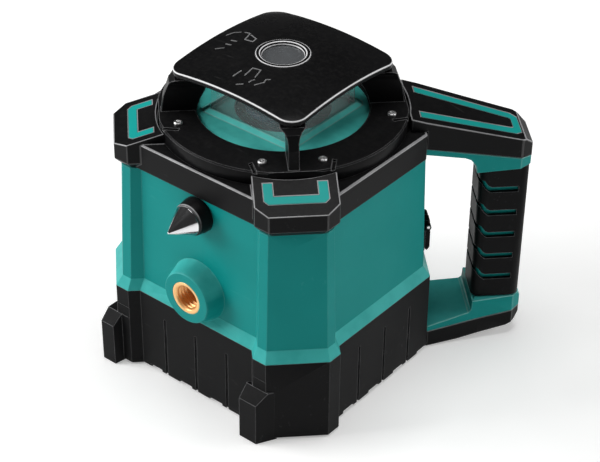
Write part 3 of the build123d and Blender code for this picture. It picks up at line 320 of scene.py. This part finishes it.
def glazing(name, look):
    # clear or coated glass with faint smears
    material, tree, surface = startMaterial(name)
    place = addNode(tree, "ShaderNodeTexCoord").outputs["Object"]
    smear = noiseNode(tree, place, look["smearScale"], 4.0, 0.6)
    feed(tree, surface.inputs["Base Color"], mixColour(tree, smear, look["colour"], look["shade"]))
    feed(tree, surface.inputs["Roughness"], rangeNode(tree, smear, 0.35, 0.75, *look["roughness"]))
    surface.inputs["Transmission Weight"].default_value = look["clear"]
    surface.inputs["IOR"].default_value = look["ior"]
    return material


finishes = {}

tealShell = dict(colour=(0.003, 0.268, 0.252), shade=(0.003, 0.248, 0.234), edgeHighlightAndScuffColour=(0.20, 0.62, 0.57),
                 paintedTopLightColour=(0.065, 0.50, 0.47), roughness=(0.38, 0.46), grain=0.12, grainScale=1400.0,
                 edge=0.0007, edgeGain=2.4, scuffs=0.08, dust=0.04, ior=1.25, specular=0.3)
finishes["teal_plastic"] = moulded("tealShell", tealShell)

# the deck's painted top light is paler than the shell's
deckTeal = dict(tealShell, paintedTopLightColour=(0.10, 0.66, 0.60))
deckFinish = moulded("deckTeal", deckTeal)

tealTrim = dict(tealShell, colour=(0.008, 0.33, 0.30), shade=(0.007, 0.30, 0.275),
                paintedTopLightColour=(0.012, 0.36, 0.33), roughness=(0.32, 0.40))
finishes["teal_trim"] = moulded("tealTrim", tealTrim)

bootRubber = dict(colour=(0.0062, 0.0062, 0.0066), shade=(0.0085, 0.0085, 0.009),
                  edgeHighlightAndScuffColour=(0.34, 0.34, 0.35), roughness=(0.40, 0.52), grain=0.22, grainScale=1100.0,
                  edge=0.0007, edgeGain=2.6,
                  scuffs=0.10, dust=0.03, ior=1.2, specular=0.3)
finishes["boot_rubber"] = moulded("bootRubber", bootRubber)

blackPlastic = dict(colour=(0.0055, 0.0055, 0.006), shade=(0.0075, 0.0075, 0.008),
                    edgeHighlightAndScuffColour=(0.42, 0.42, 0.43), roughness=(0.30, 0.40), grain=0.16, grainScale=1500.0,
                    edge=0.0007, edgeGain=3.0,
                    scuffs=0.07, dust=0.015, ior=1.2, specular=0.35)
finishes["black_plastic"] = moulded("blackPlastic", blackPlastic)

roofShell = dict(blackPlastic, colour=(0.0050, 0.0050, 0.0054), roughness=(0.24, 0.32), grain=0.05,
                 edge=0.0008, edgeGain=4.0, scuffs=0.06, brim=1.0)
finishes["roof_plastic"] = moulded("roofShell", roofShell)

windowRing = dict(blackPlastic, roughness=(0.14, 0.22), grain=0.03, edgeHighlightAndScuffColour=(0.30, 0.30, 0.31),
                  edgeGain=2.0)
ringFinish = moulded("windowRing", windowRing)

gripRubber = dict(bootRubber, roughness=(0.40, 0.52), grain=0.25, grainScale=1300.0)
finishes["grip_rubber"] = moulded("gripRubber", gripRubber)

threadBrass = dict(colour=(1.0, 0.62, 0.27), shade=(0.96, 0.54, 0.21), edgeHighlightAndScuffColour=(1.0, 0.84, 0.58),
                   metallic=0.45, roughness=(0.26, 0.38), grain=0.03, grainScale=700.0, edge=0.0003,
                   stretch=(240, 240, 240))
finishes["insert_brass"] = metal("threadBrass", threadBrass)

screwSteel = dict(colour=(0.86, 0.86, 0.86), shade=(0.76, 0.76, 0.76), edgeHighlightAndScuffColour=(0.95, 0.95, 0.95),
                  roughness=(0.30, 0.46), grain=0.06, grainScale=800.0, edge=0.0003, stretch=(900, 900, 80))
finishes["screw_steel"] = metal("screwSteel", screwSteel)

spikeChrome = dict(screwSteel, colour=(0.80, 0.80, 0.81), shade=(0.72, 0.72, 0.74), roughness=(0.07, 0.16),
                   grain=0.02, stretch=(500, 2200, 500))
finishes["spike_chrome"] = metal("spikeChrome", spikeChrome)

castAlloy = dict(screwSteel, colour=(0.50, 0.50, 0.51), shade=(0.40, 0.40, 0.41), roughness=(0.38, 0.55),
                 grain=0.25, stretch=(900, 900, 900))
finishes["cast_alloy"] = metal("castAlloy", castAlloy)

moduleBrass = dict(threadBrass, metallic=1.0, colour=(0.70, 0.50, 0.22), shade=(0.62, 0.44, 0.20),
                   stretch=(60, 60, 2500))
finishes["module_brass"] = metal("moduleBrass", moduleBrass)

bearingSteel = dict(screwSteel, colour=(0.56, 0.56, 0.57), roughness=(0.12, 0.26), stretch=(80, 80, 3000))
finishes["bearing_steel"] = metal("bearingSteel", bearingSteel)

motorCase = dict(screwSteel, colour=(0.46, 0.46, 0.48), roughness=(0.25, 0.4), stretch=(60, 60, 2000))
finishes["motor_case"] = metal("motorCase", motorCase)

plungerSteel = dict(screwSteel, roughness=(0.12, 0.28), stretch=(60, 60, 2400))
finishes["plunger_steel"] = metal("plungerSteel", plungerSteel)

contactPlate = dict(screwSteel, colour=(0.66, 0.62, 0.52), roughness=(0.2, 0.36), stretch=(900, 80, 80))
finishes["contact_plate"] = metal("contactPlate", contactPlate)

rotorBlack = dict(blackPlastic, colour=(0.020, 0.034, 0.075), shade=(0.028, 0.044, 0.090),
                  roughness=(0.14, 0.22), grain=0.03, edge=0.0006, scuffs=0.04, ior=1.5, specular=0.5,
                  coat=0.3)
finishes["rotor_black"] = moulded("rotorBlack", rotorBlack)

beltRubber = dict(bootRubber, grain=0.3, grainScale=2000.0, edge=0.0003)
finishes["belt_rubber"] = moulded("beltRubber", beltRubber)

boardGreen = dict(blackPlastic, colour=(0.012, 0.16, 0.055), shade=(0.010, 0.12, 0.045),
                  edgeHighlightAndScuffColour=(0.42, 0.36, 0.16), roughness=(0.2, 0.34), grain=0.1, grainScale=600.0,
                  edge=0.0003)
finishes["board_green"] = moulded("boardGreen", boardGreen)

panelBlack = dict(blackPlastic, roughness=(0.18, 0.28), grain=0.06)
finishes["panel_black"] = moulded("panelBlack", panelBlack)

overlayGrey = dict(blackPlastic, colour=(0.10, 0.11, 0.12), shade=(0.085, 0.095, 0.105),
                   roughness=(0.36, 0.46), grain=0.3, grainScale=2600.0, edge=0.0004)
finishes["overlay_grey"] = moulded("overlayGrey", overlayGrey)

keyRubber = dict(gripRubber, colour=(0.22, 0.23, 0.24), shade=(0.19, 0.20, 0.21),
                 edgeHighlightAndScuffColour=(0.34, 0.35, 0.36), edge=0.0006)
finishes["key_rubber"] = moulded("keyRubber", keyRubber)

lampLens = dict(blackPlastic, colour=(0.62, 0.68, 0.60), shade=(0.52, 0.62, 0.52),
                edgeHighlightAndScuffColour=(0.8, 0.84, 0.8), roughness=(0.12, 0.2), grain=0.04, edge=0.0003, coat=0.5)
finishes["lamp_lens"] = moulded("lampLens", lampLens)

receiverRed = dict(lampLens, colour=(0.16, 0.006, 0.012), shade=(0.11, 0.004, 0.01),
                   edgeHighlightAndScuffColour=(0.5, 0.05, 0.07))
finishes["receiver_red"] = moulded("receiverRed", receiverRed)

cellWrap = dict(lampLens, colour=(0.07, 0.20, 0.45), shade=(0.06, 0.17, 0.40), edgeHighlightAndScuffColour=(0.4, 0.5, 0.6))
finishes["cell_wrap"] = moulded("cellWrap", cellWrap)

clearPane = dict(colour=(0.96, 0.99, 0.985), shade=(0.93, 0.97, 0.965), smearScale=60.0,
                 roughness=(0.0, 0.03), clear=1.0, ior=1.46)

thinPane = dict(colour=(0.90, 1.0, 0.99), shade=(0.84, 0.96, 0.95), smearScale=60.0,
                roughness=(0.02, 0.08), faceOn=0.09, atEdge=0.95, turnFrom=0.45, turnTo=0.95, ior=1.46)


def thinGlazing(name, look):
    # thin clear panes: light goes straight through face on, and they whiten towards a glancing view, a
    # painted reflection
    material, tree, surface = startMaterial(name)
    place = addNode(tree, "ShaderNodeTexCoord").outputs["Object"]
    smear = noiseNode(tree, place, look["smearScale"], 4.0, 0.6)
    feed(tree, surface.inputs["Base Color"], mixColour(tree, smear, look["colour"], look["shade"]))
    feed(tree, surface.inputs["Roughness"], rangeNode(tree, smear, 0.35, 0.75, *look["roughness"]))
    facing = addNode(tree, "ShaderNodeLayerWeight").outputs["Facing"]
    cover = rangeNode(tree, facing, look["turnFrom"], look["turnTo"], look["faceOn"], look["atEdge"])
    feed(tree, surface.inputs["Alpha"], cover)
    surface.inputs["IOR"].default_value = look["ior"]
    return material


finishes["clear_glass"] = thinGlazing("thinPane", thinPane)

coatedOptic = dict(clearPane, colour=(0.80, 0.86, 0.95), shade=(0.74, 0.80, 0.92), ior=1.52)
finishes["optic_glass"] = glazing("coatedOptic", coatedOptic)
smokedPane = dict(clearPane, colour=(0.24, 0.25, 0.26), shade=(0.17, 0.18, 0.19), roughness=(0.05, 0.12),
                  clear=0.55)
specialFinishes = {"roof_window": glazing("smokedPane", smokedPane), "roof_window_ring": ringFinish,
                   "deck_plate": deckFinish}
print("stage: finishes ready", len(finishes))


slotOf = {part["node"]: part["material_slot"] for part in frame["record"]["subparts"]}
for nodeName, item in nodes.items():
    finish = specialFinishes.get(nodeName, finishes[slotOf[nodeName]])
    if not item.material_slots:
        item.data.materials.append(finish)
    for row in item.material_slots:
        row.material = finish
print("stage: nodes dressed", len(nodes))

softEdges = dict(
    segments=2, angle=24.0, weld=1e-6,
    widths=dict(body_shell=0.7, base_boot=0.7, top_frame=0.8, turret_ring=0.6, turret_roof=0.9,
                deck_plate=0.4, corner_inlays=0.25, handle_inlay=0.25, handle_top_cover=1.3, handle_frame=0.6,
                handle_lower_cover=0.8, handle_grip=0.6, spike_socket=0.4, panel_bezel=0.6, battery_door=0.5,
                charging_flap=0.4, roof_window_ring=0.35),
)
# colours of the painted highlight on the bevel strips: topLight where a strip looks up, sideLight everywhere
edgeLooks = {
    "teal_plastic": dict(tealShell, edgeHighlightAndScuffColour=(0.24, 0.66, 0.61), topLight=0.75, sideLight=0.12),
    "teal_trim": dict(tealTrim, edgeHighlightAndScuffColour=(0.16, 0.52, 0.48), topLight=0.3, sideLight=0.05),
    "boot_rubber": dict(bootRubber, edgeHighlightAndScuffColour=(0.36, 0.36, 0.37), topLight=0.7, sideLight=0.03),
    "black_plastic": dict(blackPlastic, edgeHighlightAndScuffColour=(0.46, 0.46, 0.47), topLight=0.75, sideLight=0.03),
    "roof_plastic": dict(roofShell, edgeHighlightAndScuffColour=(0.85, 0.85, 0.86), topLight=1.0, sideLight=0.6),
    "grip_rubber": dict(gripRubber, edgeHighlightAndScuffColour=(0.42, 0.42, 0.43), topLight=0.8, sideLight=0.03),
    "panel_black": dict(panelBlack, edgeHighlightAndScuffColour=(0.4, 0.4, 0.41), topLight=0.6, sideLight=0.04),
}
edgeFinishes = {name: roundedEdge(name + "Edge", look) for name, look in edgeLooks.items()}
for nodeName, width in softEdges["widths"].items():
    item = nodes[nodeName]
    item.data.materials.append(edgeFinishes[slotOf[nodeName]])
    weld = item.modifiers.new("weldSeams", "WELD")
    weld.merge_threshold = softEdges["weld"]
    bevel = item.modifiers.new("softEdges", "BEVEL")
    bevel.width = width * mm
    bevel.segments = softEdges["segments"]
    bevel.harden_normals = True
    bevel.limit_method = "ANGLE"
    bevel.angle_limit = math.radians(softEdges["angle"])
    # the bevel strips take the painted-highlight material
    bevel.material = len(item.data.materials) - 1
print("stage: moulded edges softened", len(softEdges["widths"]))


def meshObject(name, points, faces, material, smooth=True):
    mesh = bpy.data.meshes.new(name)
    mesh.from_pydata(np.asarray(points, dtype=float).tolist(), [], np.asarray(faces).tolist())
    mesh.validate()
    if smooth:
        mesh.shade_smooth()
    mesh.materials.append(material)
    made = bpy.data.objects.new(name, mesh)
    bpy.context.scene.collection.objects.link(made)
    return made


threadLook = dict(minor=6.7, depth=1.15, pitch=2.309, mouth=8.1, countersink=1.3, rim=0.35, plain=0.6,
                  around=80, perTurn=10)


def threadSurface(look, length, outer):
    # a closed profile (outer wall, face, countersink, bore, back) swept once round the axis; in the bore
    # the radius is minor + depth * clipped triangle wave of (depth along the axis / pitch - turn), faded
    # at both ends
    start, stop = look["countersink"], length - look["plain"]
    inner = np.linspace(start, stop, int((stop - start) / look["pitch"] * look["perTurn"]))
    along = np.concatenate([[length, length * 0.5, look["rim"], 0.0, 0.0], inner, [length]])
    radius = np.concatenate([[outer, outer, outer, outer - look["rim"], look["mouth"]],
                             np.full(inner.size, look["minor"]), [look["minor"]]])
    inBore = np.zeros(along.size)
    inBore[5:-1] = 1.0
    turn = np.linspace(0.0, 2 * np.pi, look["around"], endpoint=False)
    turns, alongs = np.meshgrid(turn, along, indexing="ij")
    wave = 1.0 - np.abs(2.0 * np.mod(alongs / look["pitch"] - turns / (2 * np.pi), 1.0) - 1.0)
    fade = np.clip((alongs - start) / 1.2, 0.0, 1.0) * np.clip((stop - alongs) / 1.0, 0.0, 1.0)
    radii = radius[None, :] + look["depth"] * np.clip((wave - 0.12) / 0.76, 0.0, 1.0) * fade * inBore[None, :]
    points = np.stack([radii * np.cos(turns), radii * np.sin(turns), alongs], axis=-1).reshape(-1, 3)
    return points, gridFaces(look["around"], along.size, True, True)


def gridFaces(rows, columns, closedRows, closedColumns):
    # quads between neighbouring grid points, wrapping where the surface closes on itself
    row = np.arange(rows if closedRows else rows - 1)
    column = np.arange(columns if closedColumns else columns - 1)
    first, second = np.meshgrid(row, column, indexing="ij")
    nextRow, nextColumn = (first + 1) % rows, (second + 1) % columns
    quads = np.stack([first * columns + second, nextRow * columns + second,
                      nextRow * columns + nextColumn, first * columns + nextColumn], axis=-1)
    return quads.reshape(-1, 4)


def turnOutwards(item):
    mesh = item.data
    work = bmesh.new()
    work.from_mesh(mesh)
    bmesh.ops.remove_doubles(work, verts=work.verts, dist=1e-7)
    bmesh.ops.recalc_face_normals(work, faces=work.faces)
    work.to_mesh(mesh)
    work.free()


def insertPiece(name, node, axisX, axisY, axisZ, face):
    # the threaded liner fills its CAD node: its z axis runs into the body from the open face
    low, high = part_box(node)
    size = [high[i] - low[i] for i in range(3)]
    inward = [abs(value) > 0.5 for value in axisZ].index(True)
    outer = max(size[i] for i in range(3) if i != inward) / 2 / mm
    points, faces = threadSurface(threadLook, size[inward] / mm, outer)
    centre = (np.array(low) + np.array(high)) / 2
    centre[inward] = face
    frameAxes = np.array([axisX, axisY, axisZ], dtype=float)
    piece = meshObject(name, points * mm @ frameAxes + centre, faces, finishes["insert_brass"])
    turnOutwards(piece)
    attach(piece, "housing")
    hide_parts(node)
    return piece


insertPiece("sideThread", "side_thread_insert", (1, 0, 0), (0, 0, -1), (0, 1, 0),
            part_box("side_thread_insert")[0][1])
insertPiece("tripodThread", "tripod_thread_insert", (1, 0, 0), (0, 1, 0), (0, 0, 1),
            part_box("tripod_thread_insert")[0][2])
print("stage: threaded inserts ready")

roofMarks = dict(
    radius=250.0, crown=185.6, width=0.75, raised=0.22, sunk=0.3,
    lines=[
        [(-32.8, -17.0), (-29.0, -13.8)],
        [(-31.4, -10.0), (-27.8, -9.6)],
        [(-31.6, -5.4), (-28.0, -4.8)],
        [(-38.2, -1.8), (-36.8, 2.8), (-33.6, 5.2)],
        [(-31.8, 6.0), (-28.2, 6.4), (-25.8, -0.9), (-20.4, -0.7), (-21.2, 3.0), (-26.6, 5.1)],
        [(-6.2, -32.8), (-5.8, -26.6)],
        [(-1.5, -29.0), (-2.4, -21.6), (2.3, -20.6), (4.1, -27.4)],
        [(4.2, -32.4), (4.4, -30.4), (5.4, -28.8)],
        [(8.0, -32.6), (10.7, -28.0), (9.9, -25.5), (11.9, -23.8)],
        [(-0.2, -37.4), (2.9, -35.0)],
    ],
)


def ribbonPoints(line, look):
    # each point of the line gives four corners: half a width to either side along the mitred normal,
    # on the dome z = crown - radius + sqrt(radius^2 - x^2 - y^2), once raised and once sunk
    path = np.array(line, dtype=float)
    run = np.diff(path, axis=0)
    run /= np.linalg.norm(run, axis=1)[:, None]
    ahead, behind = np.vstack([run, run[-1:]]), np.vstack([run[:1], run])
    mean = ahead + behind
    mean /= np.linalg.norm(mean, axis=1)[:, None]
    normal = np.stack([-mean[:, 1], mean[:, 0]], axis=1)
    stretch = np.clip(1.0 / np.clip((mean * ahead).sum(axis=1), 0.35, 1.0), 1.0, 1.8)[:, None]
    side = normal * stretch * look["width"] / 2
    flat = np.stack([path - side, path + side, path + 0.82 * side, path - 0.82 * side], axis=1)
    dome = look["crown"] - look["radius"] + np.sqrt(look["radius"] ** 2 - (flat ** 2).sum(axis=2))
    lift = np.array([-look["sunk"], -look["sunk"], look["raised"], look["raised"]])
    return np.concatenate([flat, (dome + lift)[:, :, None]], axis=2).reshape(-1, 3)


def addRoofMarks(look):
    allPoints, allFaces, offset = [], [], 0
    for line in look["lines"]:
        points = ribbonPoints(line, look)
        tube = gridFaces(len(line), 4, False, True) + offset
        last = offset + 4 * (len(line) - 1)
        ends = np.array([[offset, offset + 1, offset + 2, offset + 3], [last + 3, last + 2, last + 1, last]])
        allPoints.append(points)
        allFaces.append(np.vstack([tube, ends]))
        offset += points.shape[0]
    piece = meshObject("roofMarks", np.vstack(allPoints) * mm, np.vstack(allFaces),
                       finishes["roof_plastic"], False)
    turnOutwards(piece)
    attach(piece, "housing")
    return piece


marks = addRoofMarks(roofMarks)
markLook = dict(blackPlastic, colour=(0.20, 0.20, 0.205), shade=(0.14, 0.14, 0.145),
                edgeHighlightAndScuffColour=(0.5, 0.5, 0.5), dust=0.0)
marks.data.materials[0] = moulded("markLines", markLook)
print("stage: roof marks ready")


floorLook = dict(size=30.0, drop=0.0002, colour=(0.93, 0.93, 0.925), shade=(0.905, 0.905, 0.90), glow=0.36)


def makeFloor(look):
    # a flat sheet whose own faint glow keeps it pale up to the edge of the view
    material, tree, surface = startMaterial("paleFloor")
    grain = placeGroup(tree, grainGroup, Scale=300.0)
    colour = mixColour(tree, grain.outputs["Patch"], look["colour"], look["shade"])
    feed(tree, surface.inputs["Base Color"], colour)
    feed(tree, surface.inputs["Roughness"], rangeNode(tree, grain.outputs["Patch"], 0.0, 1.0, 0.75, 0.85))
    feed(tree, surface.inputs["Emission Color"], colour)
    surface.inputs["Emission Strength"].default_value = look["glow"]
    half, low = look["size"] / 2, -look["drop"]
    points = [(-half, -half, low), (half, -half, low), (half, half, low), (-half, half, low)]
    return meshObject("paleFloor", points, [(0, 1, 2, 3)], material, smooth=False)


makeFloor(floorLook)

lampTarget = Vector((0.0, 0.0, 0.09))
lamps = {
    "leftSoftbox": dict(place=(-1.15, -0.95, 0.80), size=0.9, power=22.0),
    "rightSoftbox": dict(place=(1.20, 0.95, 0.70), size=0.9, power=8.0),
    "topSoftbox": dict(place=(0.0, 0.10, 1.60), size=0.9, power=12.0),
}


def addLamp(name, look):
    data = bpy.data.lights.new(name, "AREA")
    data.shape = "SQUARE"
    data.size = look["size"]
    data.energy = look["power"]
    lamp = bpy.data.objects.new(name, data)
    lamp.location = look["place"]
    aim = lampTarget - Vector(look["place"])
    lamp.rotation_euler = aim.to_track_quat("-Z", "Y").to_euler()
    bpy.context.scene.collection.objects.link(lamp)


for lampName, look in lamps.items():
    addLamp(lampName, look)

roomGlow = 0.03
world = bpy.data.worlds.new("paleRoom")
world.use_nodes = True
world.node_tree.nodes["Background"].inputs["Color"].default_value = (1.0, 1.0, 1.0, 1.0)
world.node_tree.nodes["Background"].inputs["Strength"].default_value = roomGlow
bpy.context.scene.world = world
bpy.context.scene.view_settings.view_transform = "Standard"

cameraLook = dict(place=(0.5283, -0.6310, 0.6520), azimuth=39.255, elevation=35.216, roll=0.607, lens=107.8)


def addCamera(look):
    # the view looks back along a direction of the given azimuth and elevation, then rolls a little
    azimuth, elevation, roll = (math.radians(look[key]) for key in ("azimuth", "elevation", "roll"))
    right = Vector((math.cos(azimuth), math.sin(azimuth), 0.0))
    back = Vector((math.sin(azimuth) * math.cos(elevation), -math.cos(azimuth) * math.cos(elevation),
                   math.sin(elevation)))
    up = back.cross(right)
    rolledRight = right * math.cos(roll) + up * math.sin(roll)
    rolledUp = up * math.cos(roll) - right * math.sin(roll)
    turn = Matrix((rolledRight, rolledUp, back)).transposed()
    data = bpy.data.cameras.new("photoView")
    data.sensor_width = 36.0
    data.lens = look["lens"]
    data.clip_start = 0.01
    camera = bpy.data.objects.new("photoView", data)
    camera.matrix_world = Matrix.Translation(look["place"]) @ turn.to_4x4()
    bpy.context.scene.collection.objects.link(camera)
    bpy.context.scene.camera = camera


addCamera(cameraLook)
print("stage: floor, light and camera ready")
